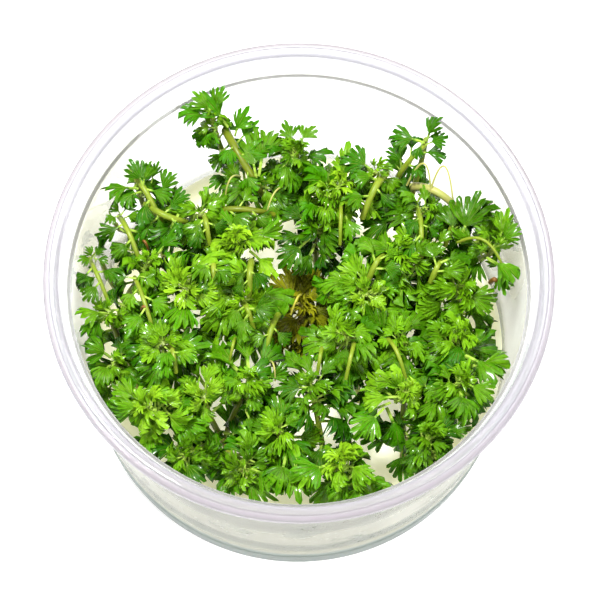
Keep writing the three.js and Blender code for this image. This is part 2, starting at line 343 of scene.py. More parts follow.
gelLook = {
    "cloud": 45.0, "ripple": 160.0, "outward": (0.012, 0.040),
    "middle": colour(0.94, 0.94, 0.76), "edge": colour(0.85, 0.84, 0.58),
    "middleGlow": colour(1.0, 0.99, 0.76), "edgeGlow": colour(0.50, 0.49, 0.31), "glow": 0.55,
    "flesh": 0.6, "fleshRadius": (1.0, 0.95, 0.7), "fleshDepth": 0.006, "bump": 0.15, "bumpDepth": 0.0006,
}


def gelPaint():
    paint = Paint("agarGel")
    place = paint.place()
    x, y = paint.axes(place)[:2]
    cloud = paint.noise(place, gelLook["cloud"], 3.0)
    outward = (x * x + y * y).root().step(*gelLook["outward"])
    paint.shade({
        "Base Color": paint.mix(cloud * 0.4 + outward * 0.6, gelLook["middle"], gelLook["edge"]),
        "Roughness": 0.12 + cloud * 0.2,
        "Subsurface Weight": gelLook["flesh"],
        "Subsurface Radius": gelLook["fleshRadius"],
        "Subsurface Scale": gelLook["fleshDepth"],
        # Painted glow: the jelly gives out light of its own, standing in for the light it would take in at
        # its sides and its base and give back at its top; the glow is weaker and yellower towards the wall,
        # where the jelly's colour also grows darker and yellower
        "Emission Color": paint.mix(outward, gelLook["middleGlow"], gelLook["edgeGlow"]),
        "Emission Strength": gelLook["glow"],
        "Normal": paint.bump(paint.noise(place, gelLook["ripple"]), gelLook["bump"], gelLook["bumpDepth"]),
    })
    return paint.material


cupLook = {
    # Up the wall: the heights that share a colour of haze and a tint of the plastic; the greys among them are
    # painted shade, standing in for the thick foot, the gel's edge and the plants seen through the wall
    "bands": [
        ((0.0000, 0.0074), (0.38, 0.44, 0.43), (0.93, 0.95, 0.94)),
        ((0.0088, 0.0104), (0.66, 0.65, 0.56), (0.97, 0.97, 0.95)),
        ((0.0122,), (0.36, 0.38, 0.35), (0.87, 0.88, 0.86)),
        ((0.0150,), (0.38, 0.40, 0.35), (0.87, 0.88, 0.86)),
        ((0.0175, 0.0265), (0.72, 0.71, 0.62), (0.96, 0.96, 0.93)),
        ((0.0300,), (0.42, 0.42, 0.36), (0.88, 0.88, 0.85)),
        ((0.0400,), (0.48, 0.48, 0.42), (0.90, 0.90, 0.87)),
        ((0.0490,), (0.84, 0.83, 0.76), (0.975, 0.975, 0.96)),
        ((0.0508,), (0.66, 0.66, 0.70), (0.975, 0.98, 0.985)),
        ((0.0548,), (0.52, 0.51, 0.56), (0.975, 0.98, 0.985)),
    ],
    # Up the wall: the height and how much of the haze there is
    "shares": [(0.0000, 0.52), (0.0074, 0.48), (0.0088, 0.40), (0.0104, 0.36), (0.0490, 0.28), (0.0510, 0.14),
               (0.0540, 0.20), (0.0552, 0.44)],
    # Painted dark lines round the cup at the rim's edges and the ledge, standing in for the dark edges that
    # refraction and shade give there: radius, half width, lowest height, near shade and far shade
    "rings": [(0.0470, 0.0014, 0.0550, colour(0.46, 0.44, 0.48), colour(0.28, 0.27, 0.31)),
              (0.0494, 0.0011, 0.0550, colour(0.44, 0.40, 0.44), colour(0.38, 0.34, 0.36)),
              (0.0453, 0.0005, 0.0494, colour(0.26, 0.26, 0.25), colour(0.22, 0.22, 0.20))],
    # Painted shade on the near wall's patches and the near side of the rim, then the far wall's white haze
    # and tint, then painted shade on the side walls and the left wall
    "shadePatch": colour(0.30, 0.34, 0.30),
    "rimShade": colour(0.46, 0.43, 0.43),
    "farWhite": colour(0.93, 0.93, 0.92),
    "farTint": colour(0.975, 0.98, 0.985),
    "sideShade": colour(0.38, 0.38, 0.28),
    "sideShadeTint": colour(0.85, 0.85, 0.78),
    "leftShadeTint": colour(0.75, 0.75, 0.67),
    # Where each part of the look starts and is full, in metres: up the cup, across it, or from its near side
    "foot": (0.0080, 0.0120), "wallTop": (0.0480, 0.0495), "near": (-0.030, 0.012), "misty": (-0.045, 0.035),
    "far": (-0.036, 0.000), "overGel": (0.014, 0.022), "underLedge": (0.0484, 0.0492),
    "side": (-0.002, 0.012), "sideEnd": (0.024, 0.033), "sideRise": (0.020, 0.036),
    "left": (0.004, 0.018), "leftEnd": (0.028, 0.038), "leftIn": (-0.030, 0.010), "leftRise": (0.014, 0.028),
    "leftTop": (0.0500, 0.0525), "rimNear": (-0.048, -0.026), "rimRise": (0.0535, 0.0545),
    "clearing": (0.006, 0.030), "sideHaze": (-0.010, 0.004), "ringBack": (0.004, 0.030),
    # How many features there are to a metre, and between which values of the noise each comes in
    "smearScale": 55.0, "shadePatchScale": 120.0, "mistScale": 190.0, "dropScale": 700.0,
    "shadePatchSpread": (0.40, 0.60), "shadePatchLevels": (0.50, 0.62), "patches": (0.42, 0.62), "drops": (0.60, 0.68),
    # How strongly each shows
    "shadePatchShare": 0.55, "rimShare": 0.65, "clearShare": 0.75, "mistShare": 0.35, "rimHaze": 0.1,
    "sideShare": 0.15, "ringShare": 0.4, "mistyShare": 0.8, "dropShare": 0.6, "throughLight": 0.62,
    "smooth": 0.03, "mistRoughness": 0.35, "ior": 1.5, "bump": 0.5, "bumpDepth": 0.0005,
    "leftSlope": 0.5, "ringRise": 0.0005, "top": 0.06,
}


def cupPaint():
    paint = Paint("clearPlastic")
    place = paint.place()
    x, y, height = paint.axes(place)
    look = cupLook
    radius = (x * x + y * y).root()
    wall = height.step(*look["foot"]) * (1 - height.step(*look["wallTop"]))
    near = 1 - y.step(*look["near"])
    smear = paint.noise(place, look["smearScale"], 3.0)
    drops = paint.noise(place, look["dropScale"], 2.0, 0.6).step(*look["drops"]) * wall
    damp = x.step(*look["misty"]) * look["mistyShare"] + (1 - look["mistyShare"])
    patches = smear.step(*look["patches"]) * damp * near
    dew = paint.noise(place, look["mistScale"], 4.0, 0.7)
    mist = patches * (drops * look["dropShare"] + dew * (1 - look["dropShare"]))
    far = y.step(*look["far"]) * height.step(*look["overGel"]) * (1 - height.step(*look["underLedge"]))
    side = far * y.step(*look["side"]) * (1 - y.step(*look["sideEnd"])) * height.step(*look["sideRise"])
    hazeAndShadeStops, tintAndShadeStops = [], []
    for heights, hazeAndShade, clear in look["bands"]:
        hazeAndShadeStops += [(level, colour(*hazeAndShade)) for level in heights]
        tintAndShadeStops += [(level, colour(*clear)) for level in heights]
    # Painted shade: the greys of the haze up the wall show on the near and side walls while the far wall
    # keeps white haze, and the side walls take more painted shade
    band = paint.mix(far, paint.ramp(height, hazeAndShadeStops, look["top"]), look["farWhite"])
    band = paint.mix(side, band, look["sideShade"])
    # Painted shade: dark grey-green patches on the near wall, for the plants' shade seen through it
    shadePatch = paint.noise(place, look["shadePatchScale"], 3.0, 0.6).step(*look["shadePatchLevels"])
    shadePatch = shadePatch * smear.step(*look["shadePatchSpread"]) * wall * near
    band = paint.mix(shadePatch * look["shadePatchShare"], band, look["shadePatch"])
    # Painted shade on the near side of the rim, where it is seen against the darker wall below it, with a
    # little more haze there
    nearRim = (1 - y.step(*look["rimNear"])) * height.step(*look["rimRise"])
    band = paint.mix(nearRim * look["rimShare"], band, look["rimShade"])
    # The tint takes painted shade on the side walls, and more of it on the left wall
    tintAndShade = paint.mix(far, paint.ramp(height, tintAndShadeStops, look["top"]), look["farTint"])
    tintAndShade = paint.mix(side, tintAndShade, look["sideShadeTint"])
    left = y.step(*look["left"]) * (1 - y.step(*look["leftEnd"])) * (1 - x.step(*look["leftIn"]))
    leftHeight = height - y * look["leftSlope"]
    left = left * leftHeight.step(*look["leftRise"]) * (1 - height.step(*look["leftTop"]))
    tintAndShade = paint.mix(left, tintAndShade, look["leftShadeTint"])
    # The far wall has only white behind it, so it needs hardly any haze
    share = paint.ramp(height, look["shares"], look["top"])
    share = share * (1 - far * y.step(*look["clearing"]) * look["clearShare"])
    share = share + mist * look["mistShare"] + nearRim * look["rimHaze"]
    share = share + far * (1 - y.step(*look["sideHaze"])) * look["sideShare"]
    # Painted dark lines at the rim's edges and the ledge, for refraction and shade there, darker on the far
    # side
    for middle, width, low, nearShade, farShade in look["rings"]:
        ring = (1 - (radius - middle).size().step(0.0, width)) * height.step(low, low + look["ringRise"])
        band = paint.mix(ring, band, paint.mix(y.step(*look["ringBack"]), nearShade, farShade))
        share = share + ring * look["ringShare"]
    paint.shade({
        "Base Color": tintAndShade,
        "Roughness": look["smooth"] + mist * look["mistRoughness"],
        "IOR": look["ior"],
        "Transmission Weight": 1.0,
        "Normal": paint.bump(mist, look["bump"], look["bumpDepth"]),
    })
    # The haze, in the colours above with their painted shade, sends some light back and lets the rest through
    haze = paint.node("ShaderNodeMixShader", inputs={0: look["throughLight"]})
    for socket, kind in ((1, "ShaderNodeBsdfDiffuse"), (2, "ShaderNodeBsdfTranslucent")):
        paint.feed(haze.socket.node.inputs[socket], paint.node(kind, inputs={"Color": band}))
    paint.blend(share, haze)
    return paint.material


# The cup and the gel are turned from their sections

turning = {"steps": 128, "cornerSteps": 5, "mergeGap": 0.000002, "smoothAngle": 40.0}
cupDetail = {
    "baseRounding": 0.8, "bead": 0.6, "ridgeRounding": 0.2, "rimDrop": 0.1, "lipDrop": 0.05,
    # Near the foot: how far out and how high
    "ridge": ((0.25, 5.2), (0.55, 5.9), (0.36, 6.6)),
    # In the rim: how far in, how deep and how rounded
    "groove": ((1.05, 0, 0.3), (1.25, 0.18, 0.12), (1.5, 0, 0.3)),
}


def innerWall(height):
    share = (height - cup["floor"]) / (cup["shoulderHeight"] - cup["floor"])
    return cup["base"] + (cup["shoulder"] - cup["base"]) * share - cup["wall"]


def roundedCorner(before, corner, after, radius):
    start = corner + (before - corner).normalized() * radius
    end = corner + (after - corner).normalized() * radius
    points = []
    for step in range(turning["cornerSteps"] + 1):
        share = step / turning["cornerSteps"]
        points.append(start.lerp(corner, share).lerp(corner.lerp(end, share), share))
    return points


def softSection(corners):
    # Each corner is (radius, height, rounding)
    places = [Vector(corner[:2]) for corner in corners]
    section = [places[0]]
    for index in range(1, len(corners) - 1):
        section += roundedCorner(*places[index - 1:index + 2], corners[index][2])
    section.append(places[-1])
    return section


def closeSurface(shape):
    # Joins what coincides, turns the faces outward and smooths the rounded ones
    bpy.ops.mesh.select_all(action="SELECT")
    bpy.ops.mesh.remove_doubles(threshold=shape["mergeGap"])
    bpy.ops.mesh.normals_make_consistent(inside=False)
    bpy.ops.object.mode_set(mode="OBJECT")
    bpy.ops.object.shade_smooth_by_angle(angle=math.radians(shape["smoothAngle"]))


def turnSection(name, section):
    deselectAll()
    bpy.ops.mesh.primitive_plane_add(size=mm)
    piece = bpy.context.object
    piece.name = name
    bpy.ops.object.mode_set(mode="EDIT")
    bpy.ops.mesh.merge(type="CENTER")
    bpy.ops.transform.translate(value=(section[0].x * mm, 0, section[0].y * mm))
    for before, point in zip(section, section[1:]):
        step = (point - before) * mm
        bpy.ops.mesh.extrude_vertices_move(TRANSFORM_OT_translate={"value": (step.x, 0, step.y)})
    bpy.ops.mesh.select_all(action="SELECT")
    bpy.ops.mesh.spin(steps=turning["steps"], angle=2 * math.pi, center=(0, 0, 0), axis=(0, 0, 1))
    closeSurface(turning)
    return piece


def finishPiece(piece, node, slot):
    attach(piece, "root")
    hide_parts(node)


def makeCup():
    ledgeTop = cup["shoulderHeight"] + cup["ledgeRise"]
    flangeBase = cup["height"] - cup["flange"]
    wall, bead = cup["wall"], cupDetail["bead"]
    section = softSection([
        (0, 0, 0),
        (cup["base"], 0, cupDetail["baseRounding"]),
        *((cup["base"] + out, height, cupDetail["ridgeRounding"]) for out, height in cupDetail["ridge"]),
        (cup["shoulder"], cup["shoulderHeight"], 0.5),
        (cup["shoulder"] + wall, ledgeTop, 0.3),
        (cup["lip"] + wall, flangeBase, 0.4),
        (cup["rim"], flangeBase, bead),
        (cup["rim"], cup["height"] - cupDetail["rimDrop"], bead * 1.2),
        *((cup["rim"] - inward, cup["height"] - deep, soft) for inward, deep, soft in cupDetail["groove"]),
        (cup["lip"], cup["height"] - cupDetail["lipDrop"], bead * 1.4),
        (cup["shoulder"], ledgeTop + wall / 2, 0.2),
        (cup["shoulder"] - wall, ledgeTop, 0.2),
        (innerWall(cup["floor"]), cup["floor"], cupDetail["baseRounding"]),
        (0, cup["floor"], 0),
    ])
    piece = turnSection("clearCup", section)
    piece.data.materials.append(cupPaint())
    finishPiece(piece, "cup", "cup_plastic")
    print("cup", len(piece.data.polygons))


def makeGel():
    underside = cup["floor"] + gel["gap"]
    edgeTop = gel["level"] + gel["meniscus"]
    edge = innerWall(edgeTop) - gel["gap"]
    section = softSection([
        (0, underside, 0),
        (innerWall(underside) - gel["gap"], underside, cupDetail["baseRounding"]),
        (edge, edgeTop, 0.12),
        (edge - 2 * gel["meniscus"], gel["level"], 0.6),
        (0, gel["level"], 0),
    ])
    piece = turnSection("gelBed", section)
    piece.data.materials.append(gelPaint())
    finishPiece(piece, "agar_gel", "agar_gel")
    print("gel", len(piece.data.polygons))


# Leaves. One of each kind is drawn flat, one unit long: a leaf stalk, then a fan, then tooth by tooth.

leafShape = {
    "bladeAt": 0.34, "stalkWidth": 0.05, "neck": 0.17, "deepCut": 0.46, "cut": 0.72,
    "tooth": 0.088, "toothTop": 0.30, "sideCurve": 1.4, "crestDrop": 0.12, "thickness": 0.02,
    "stalkBody": 2.4, "veinWidth": 0.03, "smoothAngle": 55.0, "slack": 0.001, "baseSlack": 0.01,
}
# The teeth of each lobe, the angle that the teeth span, and how long the side teeth are
leafKinds = {
    "fan": {"teeth": (2, 3, 2), "spread": 108.0, "sideLength": 0.78},
    "wedge": {"teeth": (1, 3, 2), "spread": 80.0, "sideLength": 0.82},
    "hand": {"teeth": (2, 2, 2, 2), "spread": 124.0, "sideLength": 0.80},
    "young": {"teeth": (1, 3, 1), "spread": 88.0, "sideLength": 0.78},
}


def aroundBlade(radius, angle):
    return Vector((leafShape["bladeAt"] + radius * math.cos(angle), radius * math.sin(angle)))


def bladeAngle(place):
    return math.atan2(place[1], place[0] - leafShape["bladeAt"])


def selectWhere(mesh, chosen):
    bpy.ops.mesh.select_all(action="DESELECT")
    sketch = bmesh.from_edit_mesh(mesh)
    for vertex in sketch.verts:
        vertex.select = chosen(vertex.co)
    sketch.select_flush_mode()
    bmesh.update_edit_mesh(mesh)


def settle(mesh, places):
    # The selected corners, taken round the blade, go to their places
    sketch = bmesh.from_edit_mesh(mesh)
    chosen = [vertex for vertex in sketch.verts if vertex.select]
    chosen.sort(key=lambda vertex: bladeAngle(vertex.co))
    for vertex, place in zip(chosen, places):
        vertex.co = (*place, 0)
    bmesh.update_edit_mesh(mesh)


def leafOutline(kind):
    # The angle and reach of each tooth, and how far out the cut before and after each tooth starts
    teeth = [(lobe, place) for lobe, count in enumerate(kind["teeth"]) for place in range(count)]
    gap = math.radians(kind["spread"]) / (len(teeth) - 1)
    middles = [(index - (len(teeth) - 1) / 2) * gap for index in range(len(teeth))]
    reaches = []
    for (lobe, place), middle in zip(teeth, middles):
        side = abs(middle) / middles[-1]
        offCrest = abs(place - (kind["teeth"][lobe] - 1) / 2)
        shorter = 1 - (1 - kind["sideLength"]) * side ** leafShape["sideCurve"]
        reaches.append((1 - leafShape["bladeAt"]) * shorter * (1 - leafShape["crestDrop"] * offCrest))
    cuts = [leafShape["deepCut"] * reaches[0]]
    for index in range(1, len(teeth)):
        share = leafShape["cut"] if teeth[index][1] else leafShape["deepCut"]
        cuts.append(share * min(reaches[index - 1:index + 1]))
    cuts.append(leafShape["deepCut"] * reaches[-1])
    return gap, middles, reaches, cuts


def modelLeaf(kindName):
    gap, middles, reaches, cuts = leafOutline(leafKinds[kindName])
    edges = [middles[0] - gap / 2 + index * gap / 2 for index in range(2 * len(middles) + 1)]
    feet = []
    for index, angle in enumerate(edges):
        before, after = cuts[index // 2], cuts[(index + 1) // 2]
        feet.append(aroundBlade((before + after) / 2, angle))
    bladeAt, width = leafShape["bladeAt"], leafShape["stalkWidth"]
    slack, baseSlack = leafShape["slack"], leafShape["baseSlack"]

    deselectAll()
    bpy.ops.mesh.primitive_plane_add(size=1)
    leaf = bpy.context.object
    leaf.name = "leafPattern_" + kindName
    bpy.ops.object.mode_set(mode="EDIT")
    bpy.ops.mesh.select_mode(type="VERT")
    third = bladeAt / 3
    bpy.ops.transform.resize(value=(third, width, 1))
    bpy.ops.transform.translate(value=(third / 2, 0, 0))
    for reach in (1, 2):
        selectWhere(leaf.data, lambda place: place.x > reach * third - slack)
        bpy.ops.mesh.extrude_edges_move(TRANSFORM_OT_translate={"value": (third, 0, 0)})
    bpy.ops.mesh.subdivide(number_cuts=len(edges) - 2)
    bpy.ops.mesh.extrude_edges_move(TRANSFORM_OT_translate={"value": (leafShape["neck"], 0, 0)})
    selectWhere(leaf.data, lambda place: place.x > bladeAt + leafShape["neck"] - slack)
    settle(leaf.data, [aroundBlade(leafShape["neck"], angle) for angle in edges])
    bpy.ops.mesh.extrude_edges_move()
    settle(leaf.data, feet)

    for index, (middle, reach) in enumerate(zip(middles, reaches)):
        foot = feet[2 * index:2 * index + 3]
        selectWhere(leaf.data, lambda place: min((place.xy - corner).length for corner in foot) < 2 * slack)
        start = (foot[1] - aroundBlade(0, 0)).length
        half = leafShape["tooth"] * reach
        along = aroundBlade(1, middle) - aroundBlade(0, middle)
        across = Vector((-along.y, along.x))
        bpy.ops.mesh.extrude_edges_move()
        crest = aroundBlade(reach, middle)
        shoulder = crest - along * (reach - start) * leafShape["toothTop"]
        settle(leaf.data, [shoulder - across * half, crest, shoulder + across * half])
    bpy.ops.object.mode_set(mode="OBJECT")

    nearVein = leaf.data.attributes.new("fromVein", "FLOAT", "POINT")
    reachOut = leaf.data.attributes.new("along", "FLOAT", "POINT")
    leaf.data.attributes.new("youth", "FLOAT", "POINT")
    for vertex in leaf.data.vertices:
        angle = bladeAngle(vertex.co)
        radius = (vertex.co.xy - aroundBlade(0, 0)).length
        if vertex.co.x < bladeAt + baseSlack:
            # At the blade's base the veins lie side by side
            order = (vertex.co.y / width + 0.5) * len(middles)
            atBase = vertex.co.x > bladeAt - baseSlack
            nearVein.data[vertex.index].value = 2 * abs(order % 1 - 0.5) if atBase else 0.5
            reachOut.data[vertex.index].value = max(0.0, vertex.co.x)
        else:
            nearest = min(abs(angle - middle) for middle in middles)
            nearVein.data[vertex.index].value = min(1.0, nearest * radius / leafShape["veinWidth"])
            reachOut.data[vertex.index].value = bladeAt + radius
    bpy.ops.object.modifier_add(type="SOLIDIFY")
    leaf.modifiers[0].thickness = leafShape["thickness"]
    leaf.modifiers[0].offset = 0
    bpy.ops.object.modifier_apply(modifier=leaf.modifiers[0].name)
    bpy.ops.object.mode_set(mode="EDIT")
    selectWhere(leaf.data, lambda place: place.x < bladeAt + baseSlack)
    bpy.ops.transform.resize(value=(1, 1, leafShape["stalkBody"]))
    bpy.ops.mesh.select_all(action="SELECT")
    bpy.ops.mesh.normals_make_consistent(inside=False)
    bpy.ops.object.mode_set(mode="OBJECT")
    bpy.ops.object.shade_smooth_by_angle(angle=math.radians(leafShape["smoothAngle"]))
    return leaf


# The least and the most of each bend: degrees for the stalk and the arch, else shares of the leaf's length
leafBends = {
    "stalk": (0, 24), "groove": (0.05, 0.14), "ruffle": (0.12, 0.34), "waves": (3.0, 6.0),
    "curlFrom": 0.3, "fineWaves": 3.7, "grooveRise": 3,
}
# By the leaf's kind: its arch, and how cupped and how curled it is
leafArches = {
    "grown": ((25, 125), (1.0, 3.8), (0.2, 1.7)),
    "young": ((15, 75), (1.0, 3.8), (0.2, 1.7)),
    "low": ((30, 110), (0.8, 2.8), (0.3, 1.2)),
    "single": ((20, 65), (0.6, 2.2), (0.1, 0.8)),
}


def archedPlace(place, fromVein, bend):
    # The leaf arches down, its sides drop, and its lobes and teeth rise and fall in waves
    blade = leafShape["bladeAt"]
    length = place.x
    stalkTurn = bend["stalk"] * min(length, blade) / blade
    slope = -stalkTurn
    x = min(length, blade) * math.cos(stalkTurn / 2)
    z = -min(length, blade) * math.sin(stalkTurn / 2)
    if length > blade:
        turn = bend["arch"] * (length - blade) / (1 - blade)
        x += (length - blade) * math.cos(slope - turn / 2)
        z += (length - blade) * math.sin(slope - turn / 2)
        slope -= turn
    radius = math.hypot(max(0.0, place.x - blade), place.y)
    sideTurn = place.y * bend["cupping"]
    y = place.y * (1 - sideTurn * sideTurn / 6)
    outer = max(0.0, radius - leafBends["curlFrom"])
    drop = abs(place.y * sideTurn) / 2 + bend["curl"] * outer ** 2
    wave = bladeAngle(place) * bend["waves"] + bend["phase"]
    ruffle = bend["ruffle"] * radius * (math.sin(wave) + outer * math.sin(wave * leafBends["fineWaves"]))
    lift = place.z - drop + ruffle + fromVein * bend["groove"] * min(1.0, radius * leafBends["grooveRise"])
    return Vector((x - math.sin(slope) * lift, y, z + math.cos(slope) * lift))


def leafBend(chance, kind):
    arch, cupping, curl = leafArches[kind]
    return {
        "stalk": math.radians(chance.uniform(*leafBends["stalk"])),
        "arch": math.radians(chance.uniform(*arch)),
        "cupping": chance.uniform(*cupping),
        "curl": chance.uniform(*curl),
        "groove": chance.uniform(*leafBends["groove"]),
        "ruffle": chance.uniform(*leafBends["ruffle"]),
        "waves": chance.uniform(*leafBends["waves"]),
        "phase": chance.uniform(0, 2 * math.pi),
    }


def growLeaf(pattern, root, upright, azimuth, elevation, roll, length, bend, youth):
    leaf = pattern.copy()
    leaf.data = pattern.data.copy()
    bpy.context.collection.objects.link(leaf)
    raised = Matrix.Rotation(azimuth, 3, "Z") @ Matrix.Rotation(-elevation, 3, "Y")
    turn = upright @ (raised @ Matrix.Rotation(roll, 3, "X"))
    veins = leaf.data.attributes["fromVein"].data
    ages = leaf.data.attributes["youth"].data
    for vertex in leaf.data.vertices:
        bent = archedPlace(vertex.co, veins[vertex.index].value, bend)
        vertex.co = insideCup(root + turn @ bent * length) * mm
        ages[vertex.index].value = youth
    return leaf


def inView(place):
    # Where the photo's view line through a place meets the ground
    return Vector((place.x, place.y + place.z / math.tan(math.radians(photo["elevation"]))))


def hides(root, way, length, clearSpots):
    # A leaf is left out where it would hide an opening or a free stalk
    for share in crownHabit["leafSights"]:
        place = root + way * length * share
        seen = inView(place)
        if any(place.z > level and (seen - spot).length < room for spot, level, room in clearSpots):
            return True
    return False


def findClearSpots(lines):
    middles = [bezierPoint(line, share) for line in lines for share in crownHabit["stalkSights"]]
    spots = [(inView(place), place.z, crownHabit["parting"]) for place in middles]
    for x, y, width in openings:
        seen = inView(Vector((x, y, crownHabit["openLevel"])))
        spots.append((seen, crownHabit["openDepth"], width + crownHabit["openMargin"]))
    return spots


singleHabit = {"stalkShare": 0.6, "archShare": 0.35, "roll": 30, "length": 1.1, "youth": (0.2, 0.6)}


def reachLeaf(pattern, root, tip, chance):
    # A leaf whose root and tip are known
    root, way = Vector(root), Vector(tip) - Vector(root)
    bend = leafBend(chance, "single")
    azimuth = math.atan2(way.y, way.x)
    elevation = math.asin(way.z / way.length) + bend["stalk"] * singleHabit["stalkShare"]
    elevation = elevation + bend["arch"] * singleHabit["archShare"]
    roll = math.radians(chance.uniform(-singleHabit["roll"], singleHabit["roll"]))
    length = way.length * singleHabit["length"]
    youth = chance.uniform(*singleHabit["youth"])
    return growLeaf(pattern, root, Matrix.Identity(3), azimuth, elevation, roll, length, bend, youth)


leafRoom = {"overGel": 0.6, "underRim": 0.7, "fromWall": 0.35, "overShoulder": 1, "collarSlope": 0.3}


def insideCup(place):
    # A leaf that meets the wall lies along it
    place.z = min(max(place.z, gel["level"] + leafRoom["overGel"]), cup["height"] - leafRoom["underRim"])
    collar = max(0.0, place.z - cup["shoulderHeight"] - leafRoom["overShoulder"])
    room = innerWall(min(place.z, cup["shoulderHeight"])) - leafRoom["fromWall"]
    room += collar * leafRoom["collarSlope"]
    reach = place.xy.length
    if reach > room:
        place.x *= room / reach
        place.y *= room / reach
    return place


crownHabit = {
    "leaves": 31, "smallTip": 6.5, "fewer": 3, "goldenTurn": 2.39996, "turnJitter": (-0.5, 0.5), "heart": 0.4,
    "lowest": -9.0, "highest": 0.8, "heightCurve": 0.7,
    "outerTilt": -4.0, "innerTilt": 70.0, "tiltCurve": 1.2, "tiltJitter": (-14, 18), "roll": 45,
    "outerLength": 1.18, "innerLength": 0.42, "lengthCurve": 1.3, "lengthJitter": (0.72, 1.15),
    "youngFrom": 0.72, "oldest": 0.15, "youthRise": 0.7, "youthJitter": (-0.15, 0.2),
    "lean": 0.8, "outwardLean": 0.006, "archSeen": 0.4, "seedStep": 31, "firstSeed": 7,
    "sideLeaves": 9, "sideFrom": 0.38, "sideTo": 0.97, "sideTurn": 1.3, "sideJitter": (0.0, 0.9),
    "sideLength": 1.2, "leastSide": 7.0,
    # Which parts of a leaf or a stalk are looked at, and how much room an opening or a free stalk gets
    "leafSights": (0.45, 0.7, 0.95), "stalkSights": (0.32, 0.5, 0.68), "sightReach": 18,
    "parting": 1.8, "openLevel": 47.0, "openMargin": 1.5, "openDepth": 34.0,
}
# A leaf on a stalk: its tilt, roll, length and youth
lowLeaf = {"tilt": (5, 45), "roll": 35, "length": (0.8, 1.15), "youth": (0.0, 0.45)}
# The leaves on a free stalk: where along it and to which side, how far they turn and how long they are
freeLeaf = {"places": ((0.28, -0.9), (0.45, 0.8), (0.66, -0.7)), "turn": (0.8, 1.4), "length": 6.5}

# Tips whose stalk stands free, with few leaves on it, and loose tips with few leaves
bareStalks = {4: 2, 5: 2, 17: 1, 18: 3, 19: 2}
looseTips = {3: 12, 4: 10, 5: 8, 17: 8, 19: 18}

# Painted light and shade by tip: how much lighter the leaves of a tip are made than the others of their kind,
# or darker where it is less than nothing; it is added to the youth attribute
tipLightAndShade = {
    1: -0.25, 2: 0.15, 3: -0.2, 11: 0.2, 12: 0.15, 13: 0.4, 17: -0.4, 21: 0.15, 23: -0.15, 24: 0.2, 26: 0.25,
    27: 0.35,
}

# Openings between the leaves, at the level of the tips: where each is and how wide
openings = [
    (26.6, 27.2, 1.8), (-36.8, 13, 1.4), (-11.7, 33.2, 1.8), (-9.5, 34.6, 1.2), (38.7, 5.1, 1.2),
    (-38.7, 3.1, 1.1), (-40.4, 0.4, 1.1), (17.3, -35, 1.7), (17.1, 30.7, 1.0), (-9, 20.4, 1.0),
    (21.7, 30.8, 0.9), (-0.1, 8.1, 1.1), (-8, 6.3, 1.1), (4.2, -29.2, 2.0), (-21.5, 21, 1.3), (-15, 31, 0.8),
    (22.9, 27.1, 0.9), (-32.5, 16.9, 0.9), (-34, 0.5, 0.9), (-38.6, -13.8, 0.9), (-30, 26, 1.1),
    (-39.4, 9.1, 1.3), (35, 22.6, 1.3), (-39.3, 12.1, 1.2), (41.5, 7.1, 1.0), (22.7, 36.6, 1.0),
    (12.2, 29.8, 1.0), (36.6, 20.9, 1.0), (38.8, -10.6, 1.0), (-37.4, 24.2, 0.9), (-9.7, 26.7, 1.3),
    (-7.3, 27, 0.8), (28.4, 23.8, 1.0), (32.4, 22.1, 0.9), (-38.9, 15.9, 0.9), (-20.2, 28.2, 1.0),
    (-15.5, -26.5, 1.2), (18.4, -24.4, 0.9), (20.0, -26.3, 0.9), (16.9, -27.5, 0.8), (20.8, -28.4, 0.8),
    (-38.3, 11.9, 1.0), (38.8, -7.5, 0.9), (27, 29.8, 0.9), (-13.8, -30.2, 1.9),
]

